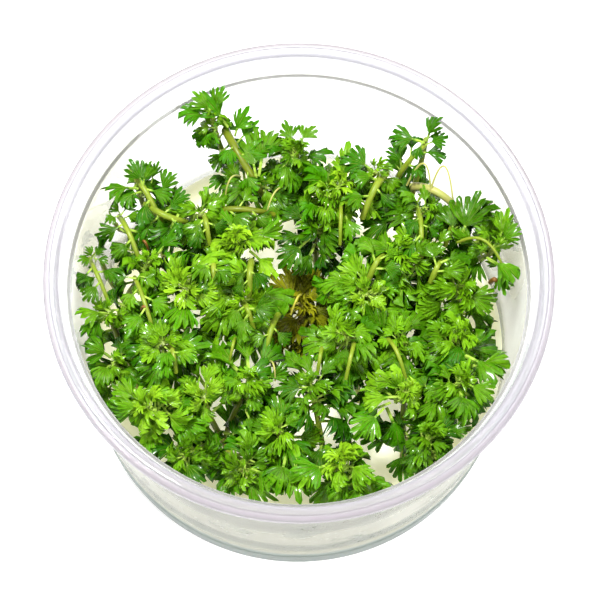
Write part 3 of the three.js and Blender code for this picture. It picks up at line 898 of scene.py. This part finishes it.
# Single leaves that can be told apart, by tip: where each leaves its stalk and where it ends
singleLeaves = {
    1: [((-17.5, 37, 50), (-16, 40.5, 54.8)), ((-18, 36.5, 50), (-22.5, 38, 54.5)),
         ((-18.5, 36, 49.5), (-24.8, 35.5, 51.5)), ((-13.5, 33, 47), (-11, 37, 51.5)),
         ((-15, 34.5, 48), (-20.5, 39.5, 52.5)), ((-13, 32, 46), (-8.5, 34.5, 49))],
    2: [((-8.5, 25, 45.5), (-6.5, 35, 48)), ((-9, 24.5, 45), (-11, 32, 48.5)),
         ((-7.5, 22.5, 44), (-1.5, 18.5, 43)), ((-7.5, 23, 43), (-5, 16, 41))],
    3: [((-31.6, 21, 48), (-34, 25.4, 52)), ((-31.6, 21, 48), (-30.6, 25, 52)),
         ((-32.6, 20.6, 48), (-39.5, 20, 50)), ((-30, 22, 48), (-28.2, 25, 51)),
         ((-28.2, 19.4, 47), (-25.5, 24, 50)), ((-27, 16.8, 46), (-22, 20, 48)),
         ((-32, 20, 48), (-37, 17.3, 48)), ((-28, 15.7, 46), (-32.7, 10.7, 46)),
         ((-24.5, 15.6, 47), (-27.5, 7.5, 45))],
    4: [((-35.9, 15.7, 46), (-33, 18, 48.5)), ((-36.3, 15.5, 46), (-39, 13.5, 47)),
         ((-35.3, 15, 46), (-31.8, 15.2, 48)), ((-36, 15.7, 46), (-37.6, 17, 49)),
         ((-33.2, 8.8, 44), (-37.5, 9, 45)), ((-32.8, 8.8, 43), (-36.6, 5.7, 44))],
    5: [((-41.3, 6.2, 46), (-43.8, 4.5, 48)), ((-41.3, 6.4, 46), (-42.5, 7.5, 49)),
         ((-40.9, 6.2, 46), (-38, 5, 47)), ((-40.9, 6.4, 46), (-38.8, 7.6, 48)),
         ((-40, 3.7, 43), (-42.9, 0.5, 45))],
    6: [((-28.5, 7, 46), (-24.5, 12, 47.5)), ((-32.4, 2.1, 46), (-37.8, 2.5, 46)),
         ((-31.6, 2.6, 46), (-27.8, 1, 46))],
    7: [((-38, -5, 45), (-43.6, -6.5, 49)), ((-38, -5, 43), (-42.5, -10, 46))],
    8: [((-37, -13.5, 43), (-42.4, -13, 48)), ((-37, -15, 42), (-39.5, -20, 46))],
    12: [((-10, 10.5, 46), (-3, 13.5, 45.5)), ((-10, 8.5, 46), (-4.5, 4.5, 44))],
    13: [((-11.5, -2, 42), (-11, -10.5, 41)), ((-11.5, -1, 38), (-5, -8, 40)),
         ((-12, 0, 36), (-16.5, -9, 38)), ((-12, 0, 33), (-8.5, -12, 35))],
    14: [((-0.5, 29.5, 50), (1.8, 34.5, 50.5)), ((-1.5, 29.5, 49.5), (-3.5, 34.5, 50.5))],
    15: [((9, 17, 45), (10.5, 11, 46)), ((9, 22.5, 45), (9, 31, 47)), ((11, 21.5, 44), (16, 17.5, 43))],
    16: [((14, 25.5, 47), (10.5, 29, 47.5))],
    17: [((25.2, 31.4, 50), (27, 35.6, 54)), ((25, 30.5, 50), (29.6, 30.2, 52)),
         ((24.6, 30.9, 50), (17.5, 32.1, 51)), ((20.2, 27.1, 46), (19.2, 31.7, 50)),
         ((24.4, 30.4, 52), (22.4, 26.8, 51.5)), ((19.8, 26.8, 46), (17.2, 28.4, 48))],
    18: [((23.5, 18.5, 45), (16.5, 20.5, 43.5))],
    19: [((32, 11.1, 46), (34.9, 19.7, 52)), ((30.2, 12.3, 46), (31.2, 18.5, 50)),
         ((34.5, 15.5, 47), (39, 16.5, 52))],
    20: [((39.5, 10, 49), (43.6, 11, 54)), ((39.5, 10.5, 48), (41.5, 15.5, 52.5)),
         ((37.3, 7.6, 47), (43.4, 1.8, 48)), ((39.3, 6.6, 47), (41, 0.6, 46))],
    22: [((15, 0.5, 44), (19.5, 1.5, 45)), ((13.5, 2, 46), (8.5, 7, 46.5))],
    23: [((2.5, 15.5, 42), (-4, 19.5, 42)), ((2, 14.5, 41), (-4.5, 12, 41)), ((3, 12.5, 40), (1, 5, 39)),
         ((2, 13, 42), (-3.5, 6.5, 42))],
    24: [((0.5, 3, 30), (-6, 7.5, 33)), ((0.5, 3, 30), (-3, 10, 33)), ((0.5, 3, 30), (1, 9.5, 33)),
         ((0.5, 3, 29), (4.5, 10, 33)), ((0.5, 3, 29), (7, 6, 33)), ((0.5, 3, 30), (-7, 3, 31)),
         ((0, 1, 30), (-3.5, -4.5, 31))],
    27: [((27, 9.5, 46), (29.5, 13, 48))],
    28: [((33, -13, 46.5), (40, -18.5, 49))],
    29: [((32.5, -19, 48), (37.8, -23.5, 50)), ((31.5, -20.5, 48), (33.5, -28.5, 50.5)),
         ((34, -15, 46), (41.5, -15, 49))],
    30: [((20, -21.5, 46), (12.5, -22.5, 44.5)), ((17, -24, 46), (12, -31, 46))],
    31: [((28, -28.5, 47), (34.5, -29, 48.5))],
    32: [((6.5, -36, 47), (-0.5, -41, 50)), ((3, -36, 46), (2.5, -42.5, 50))],
    33: [((-3, -28, 45), (1, -26.5, 44)), ((-2, -34, 45), (-3, -42.5, 49)), ((0, -34, 45), (0, -43.5, 48))],
    34: [((4, -20, 44), (11, -20, 43.5)), ((3, -19, 46), (1, -13.5, 46)), ((4, -19, 46), (7, -14.5, 46.5)),
         ((3, -20, 46), (-4, -20.5, 46)), ((2.5, -18, 45), (-2.5, -13, 44.5))],
    36: [((-7.5, -19, 47), (-1.5, -17, 46)), ((-9.5, -18, 47), (-10.5, -8.5, 43.5)),
         ((-9, -18.5, 46), (-3.5, -10, 43)), ((-10.5, -18, 45), (-17, -10.5, 43))],
    37: [((-8.5, -36.5, 44.5), (-2, -41, 48))],
    38: [((-30, -25.5, 49), (-35, -27, 51)), ((-30, -24, 48), (-36.5, -22.5, 50))],
}


def joinPieces(name, pieces):
    deselectAll()
    for piece in pieces:
        piece.select_set(True)
    bpy.context.view_layer.objects.active = pieces[0]
    bpy.ops.object.join()
    joined = bpy.context.object
    joined.name = name
    return joined


def between(first, last, share):
    return first + (last - first) * share


def leafWay(azimuth, tilt, bend):
    rise = math.tan(tilt - bend["arch"] * crownHabit["archSeen"])
    return Vector((math.cos(azimuth), math.sin(azimuth), rise)).normalized()


def stalkLeaf(root, azimuth, length, clearSpots, patterns, chance):
    # A leaf lower on a stalk, unless it would hide an opening
    tilt = math.radians(chance.uniform(*lowLeaf["tilt"]))
    roll = math.radians(chance.uniform(-lowLeaf["roll"], lowLeaf["roll"]))
    bend = leafBend(chance, "low")
    reach = length * chance.uniform(*lowLeaf["length"])
    pattern = patterns[chance.choice(["fan", "wedge", "hand"])]
    youth = chance.uniform(*lowLeaf["youth"])
    if hides(root, leafWay(azimuth, tilt, bend), reach, clearSpots):
        return []
    return [growLeaf(pattern, root, Matrix.Identity(3), azimuth, tilt, roll, reach, bend, youth)]


def makeCrown(number, tip, stalk, freeLines, clearSpots, patterns, paints):
    place, length, tone = tip
    place = Vector(place)
    habit = crownHabit
    clearSpots = [spot for spot in clearSpots if (spot[0] - inView(place)).length < habit["sightReach"]]
    chance = random.Random(number * habit["seedStep"] + habit["firstSeed"])
    fewer = 0 if length > habit["smallTip"] else habit["fewer"]
    count = looseTips.get(number, habit["leaves"] - fewer)
    start = chance.uniform(0, 2 * math.pi)
    lean = Vector((chance.uniform(-1, 1), chance.uniform(-1, 1), 0)) * habit["lean"]
    lean += Vector((place.x, place.y, 0)) * habit["outwardLean"]
    axis = Vector((lean.x, lean.y, 1)).normalized()
    upright = axis.to_track_quat("Z", "Y").to_matrix()
    leaves = []
    for index in range(count):
        rank = index / (count - 1)
        azimuth = start + index * habit["goldenTurn"] + chance.uniform(*habit["turnJitter"])
        tilt = between(habit["outerTilt"], habit["innerTilt"], rank ** habit["tiltCurve"])
        tilt = math.radians(tilt + chance.uniform(*habit["tiltJitter"]))
        share = between(habit["outerLength"], habit["innerLength"], rank ** habit["lengthCurve"])
        height = between(habit["lowest"], habit["highest"], rank ** habit["heightCurve"])
        heart = Vector((math.cos(azimuth) * habit["heart"], math.sin(azimuth) * habit["heart"], 0))
        root = place + axis * height + heart
        young = rank > habit["youngFrom"]
        kind = "young" if young else chance.choice(["fan", "fan", "wedge", "hand"])
        bend = leafBend(chance, "young" if young else "grown")
        reach = length * share * chance.uniform(*habit["lengthJitter"])
        roll = math.radians(chance.uniform(-habit["roll"], habit["roll"]))
        youth = habit["oldest"] + habit["youthRise"] * rank + chance.uniform(*habit["youthJitter"])
        if not leaves or not hides(root, upright @ leafWay(azimuth, tilt, bend), reach, clearSpots):
            leaves.append(growLeaf(patterns[kind], root, upright, azimuth, tilt, roll, reach, bend, youth))
    for root, end in singleLeaves.get(number, []):
        leaves.append(reachLeaf(patterns[chance.choice(["fan", "wedge"])], root, end, chance))
    sides = bareStalks.get(number, habit["sideLeaves"])
    for index in range(sides):
        along = (index + chance.uniform(*habit["sideJitter"])) / sides
        share = between(habit["sideFrom"], habit["sideTo"], along)
        azimuth = start + habit["sideTurn"] + index * habit["goldenTurn"]
        size = max(habit["leastSide"], length * habit["sideLength"])
        leaves += stalkLeaf(bezierPoint(stalk, share), azimuth, size, clearSpots, patterns, chance)
    for line in freeLines:
        way = line[3] - line[0]
        for share, side in freeLeaf["places"]:
            azimuth = math.atan2(way.y, way.x) + side * chance.uniform(*freeLeaf["turn"])
            leaves += stalkLeaf(bezierPoint(line, share), azimuth, freeLeaf["length"], [], patterns, chance)
    piece = joinPieces("leafyTip_%02d" % number, leaves)
    # Painted light and shade: the leaves of a whole tip are made lighter or darker through the youth
    # attribute
    for youthAndShade in piece.data.attributes["youth"].data:
        youthAndShade.value += tipLightAndShade.get(number, 0.0)
    piece.data.materials.append(paints["leaf_" + tone])
    finishPiece(piece, "leaf_crown_%02d" % number, "leaf_" + tone)
    return len(piece.data.polygons)


# Stems

stemShape = {
    "radius": 0.75, "taper": 0.72, "branchRadius": 0.65, "branchTaper": 0.75, "climb": 0.4, "forkAt": 0.34,
    "forkSpacing": 0.12, "rootDepth": 3.0, "tipDrop": 0.6, "steps": 20, "roundness": 3, "mergeGap": 0.000001,
    "smoothAngle": 50.0,
    # Free stalks: how they thin, sink and bow, and from what radius they carry leaves
    "freeTaper": 0.8, "sunk": 3.0, "runOn": 1.2, "bow": 0.67, "leafyFrom": 0.5,
}


def bezierPoint(points, share):
    a, b, c, d = points
    rest = 1 - share
    return a * rest ** 3 + b * 3 * rest * rest * share + c * 3 * rest * share * share + d * share ** 3


def bezierTangent(points, share):
    a, b, c, d = points
    rest = 1 - share
    way = (b - a) * rest * rest + (c - b) * 2 * rest * share + (d - c) * share * share
    return way.normalized()


def stalkPoints(start, leaving, tip):
    end = Vector(tip) - Vector((0, 0, stemShape["tipDrop"]))
    climb = (end.z - start.z) * stemShape["climb"]
    return start, start + leaving * climb, end - Vector((0, 0, climb)), end


def drawStalk(points, radius, endShare, skin):
    deselectAll()
    bpy.ops.curve.primitive_bezier_curve_add()
    stalk = bpy.context.object
    ends = stalk.data.splines[0].bezier_points
    for end in ends:
        end.handle_left_type = end.handle_right_type = "FREE"
    ends[0].co, ends[0].handle_right = points[0] * mm, points[1] * mm
    ends[0].handle_left = (points[0] * 2 - points[1]) * mm
    ends[1].co, ends[1].handle_left = points[3] * mm, points[2] * mm
    ends[1].handle_right = (points[3] * 2 - points[2]) * mm
    ends[1].radius = endShare
    stalk.data.dimensions = "3D"
    stalk.data.resolution_u = stemShape["steps"]
    stalk.data.bevel_depth = radius * mm
    stalk.data.bevel_resolution = stemShape["roundness"]
    stalk.data.use_fill_caps = True
    bpy.ops.object.convert(target="MESH")
    bpy.ops.object.mode_set(mode="EDIT")
    closeSurface(stemShape)
    bpy.context.object.data.materials.append(skin)
    return bpy.context.object


# Stalks that can be told apart between the leaves, by plant: start, bow, end, radius and paint
freeStalks = {
    1: [((-14.9, 34, 48), (-12.8, 27.5, 49), (-7.8, 22.8, 45), 0.9, "olive")],
    2: [((-30, 18, 48), (-27.2, 13.5, 49), (-24, 15.4, 48), 0.75, "stem"),
        ((-33.8, 24.5, 48), (-31, 20, 50), (-28.5, 16, 47), 0.7, "stem"),
        ((-12.3, 25.3, 47), (-14.5, 24, 49), (-15.2, 21, 47), 0.2, "thread")],
    3: [((-36, 15.5, 46), (-34.4, 12, 49), (-32.4, 7.7, 47), 0.6, "stem"),
        ((-41.8, 6.6, 45), (-40.3, 3, 48), (-38.3, -1, 46), 0.5, "stem"),
        ((-31.5, 10.2, 48), (-30.8, 9.4, 48.8), (-30.2, 8.6, 48), 0.3, "brown")],
    5: [((-32.4, 2, 47), (-30.8, -2.5, 49.5), (-29, -7.3, 48), 0.5, "stem"),
        ((-24.8, -12.8, 49), (-24.2, -14.5, 50.5), (-24, -16.5, 49.5), 0.5, "stem"),
        ((-31, -4, 48), (-30.4, -4.6, 49), (-29.6, -4.4, 48), 0.4, "brown")],
    6: [((-17, 17.5, 47), (-12, 16.5, 49), (-6.5, 17.2, 47), 0.7, "olive"),
        ((-19, 14.5, 50), (-18.7, 12.8, 51.5), (-18.2, 10.5, 50), 0.6, "stem"),
        ((-17, 5.6, 50), (-17, 2.6, 52.5), (-16.7, -0.7, 50), 0.65, "stem"),
        ((-9.6, 4.7, 50), (-9.7, 2.4, 51.5), (-9.8, -0.4, 50), 0.7, "stem"),
        ((-10.6, -3.4, 48), (-10, -4.7, 50), (-9.3, -6.5, 48), 0.6, "stem"),
        ((-4.4, -5, 46), (-5.2, -8, 48.5), (-6.1, -11, 47), 0.65, "stem")],
    7: [((16.6, 24.7, 49), (14.7, 21.2, 51), (13, 17.5, 48), 0.8, "stem"),
        ((8.2, 18.9, 48), (8, 15.4, 51), (8.1, 11.8, 48), 0.45, "stem"),
        ((-2.6, 23, 48), (-6, 20.5, 51), (-7, 15.3, 47), 0.2, "thread")],
    8: [((23.9, 17, 49), (24, 12.8, 52), (24.3, 8.5, 50), 0.55, "stem"),
        ((20.4, 27, 47), (22.2, 27.8, 50), (24.2, 30.3, 51), 0.6, "stem"),
        ((21.4, 23.7, 48), (25, 29, 53.5), (26, 22.9, 50.5), 0.22, "thread"),
        ((25.8, 21.2, 49), (29, 31, 54.5), (30.7, 18.1, 50), 0.22, "thread"),
        ((22.7, 24.2, 46), (27, 22.2, 48), (31.8, 19, 47), 0.9, "thread")],
    9: [((29.6, 12.5, 47), (30.5, 14.5, 50), (31.2, 17, 49), 0.5, "stem"),
        ((32.6, 10.6, 49), (37, 11.6, 52.5), (39.5, 6.5, 49.5), 0.35, "stem"),
        ((38.2, 3.5, 47), (38.8, 2.8, 48.5), (39.5, 3, 47), 0.5, "brown")],
    10: [((14.4, 3.5, 50), (15.2, 5, 51.5), (16.1, 6.3, 50.5), 0.6, "stem")],
    12: [((0.4, -0.3, 48), (-0.3, -2.2, 49), (-1.5, -4.5, 48), 0.25, "old_stem"),
         ((-5.4, -14.5, 48.5), (-4.4, -16.5, 50.5), (-4.3, -18.7, 49), 0.2, "thread")],
    13: [((18.2, -10.7, 49), (19.4, -13.3, 51), (20.8, -16.6, 49), 0.45, "stem"),
         ((10.9, -11.8, 49), (10.5, -14.4, 51), (9.8, -16.9, 49), 0.45, "stem")],
    14: [((26.7, 3.3, 50), (27.3, 4.4, 51.5), (27.9, 5.6, 50), 0.6, "stem")],
    17: [((4.6, -12.7, 49), (4.5, -14.4, 50.5), (4.1, -16, 49), 0.45, "stem")],
    18: [((-12.5, -10.7, 48), (-12.6, -12.2, 50), (-13.1, -13.5, 48), 0.35, "stem")],
}


liveStalks = ("stem", "olive")


def freeLine(stalk):
    # The ends of a live stalk run on under the leaves
    start, bow, end = (Vector(point) for point in stalk[:3])
    sunk = Vector((0, 0, stemShape["sunk"]))
    further = (end - start).normalized() * (stemShape["runOn"] if stalk[4] in liveStalks else 0)
    share = stemShape["bow"]
    return start - sunk - further, start.lerp(bow, share), end.lerp(bow, share), end - sunk + further


def makeStem(number, plant, paints):
    tips = plant["tips"]
    paint = "old_stem" if tips[0][2] == "old" else "stem"
    foot = Vector((*plant["foot"], gel["level"] - stemShape["rootDepth"]))
    main = stalkPoints(foot, Vector((0, 0, 1)), tips[0][0])
    stalks = [drawStalk(main, stemShape["radius"], stemShape["taper"], paints[paint])]
    lines = [main]
    for index, tip in enumerate(tips[1:]):
        share = stemShape["forkAt"] + index * stemShape["forkSpacing"]
        branch = stalkPoints(bezierPoint(main, share), bezierTangent(main, share), tip[0])
        stalks.append(drawStalk(branch, stemShape["branchRadius"], stemShape["branchTaper"], paints[paint]))
        lines.append(branch)
    for stalk in freeStalks.get(number, []):
        stalks.append(drawStalk(freeLine(stalk), stalk[3], stemShape["freeTaper"], paints[stalk[4]]))
    piece = joinPieces("stem_piece_%02d" % number, stalks)
    finishPiece(piece, "stem_%02d" % number, paint)
    return lines


placeCamera()
lightStudio()
makeCup()
makeGel()
paints = {"leaf_" + tone: leafPaint(tone) for tone in leafTones}
paints.update({name: stemPaint(*tone) for name, tone in stemTones.items()})
patterns = {kind: modelLeaf(kind) for kind in leafKinds}
print("leaf patterns", {kind: len(pattern.data.polygons) for kind, pattern in patterns.items()})
clearSpots = findClearSpots([freeLine(stalk) for stalks in freeStalks.values() for stalk in stalks])
faces = 0
crown = 0
for number, plant in enumerate(plants, 1):
    lines = makeStem(number, plant, paints)
    leafy = [
        freeLine(stalk) for stalk in freeStalks.get(number, [])
        if stalk[4] in liveStalks and stalk[3] >= stemShape["leafyFrom"]
    ]
    for tip, stalk in zip(plant["tips"], lines):
        crown += 1
        faces += makeCrown(crown, tip, stalk, leafy, clearSpots, patterns, paints)
        leafy = []
for pattern in patterns.values():
    bpy.data.objects.remove(pattern)
print("plants", crown, "crowns", faces, "faces")
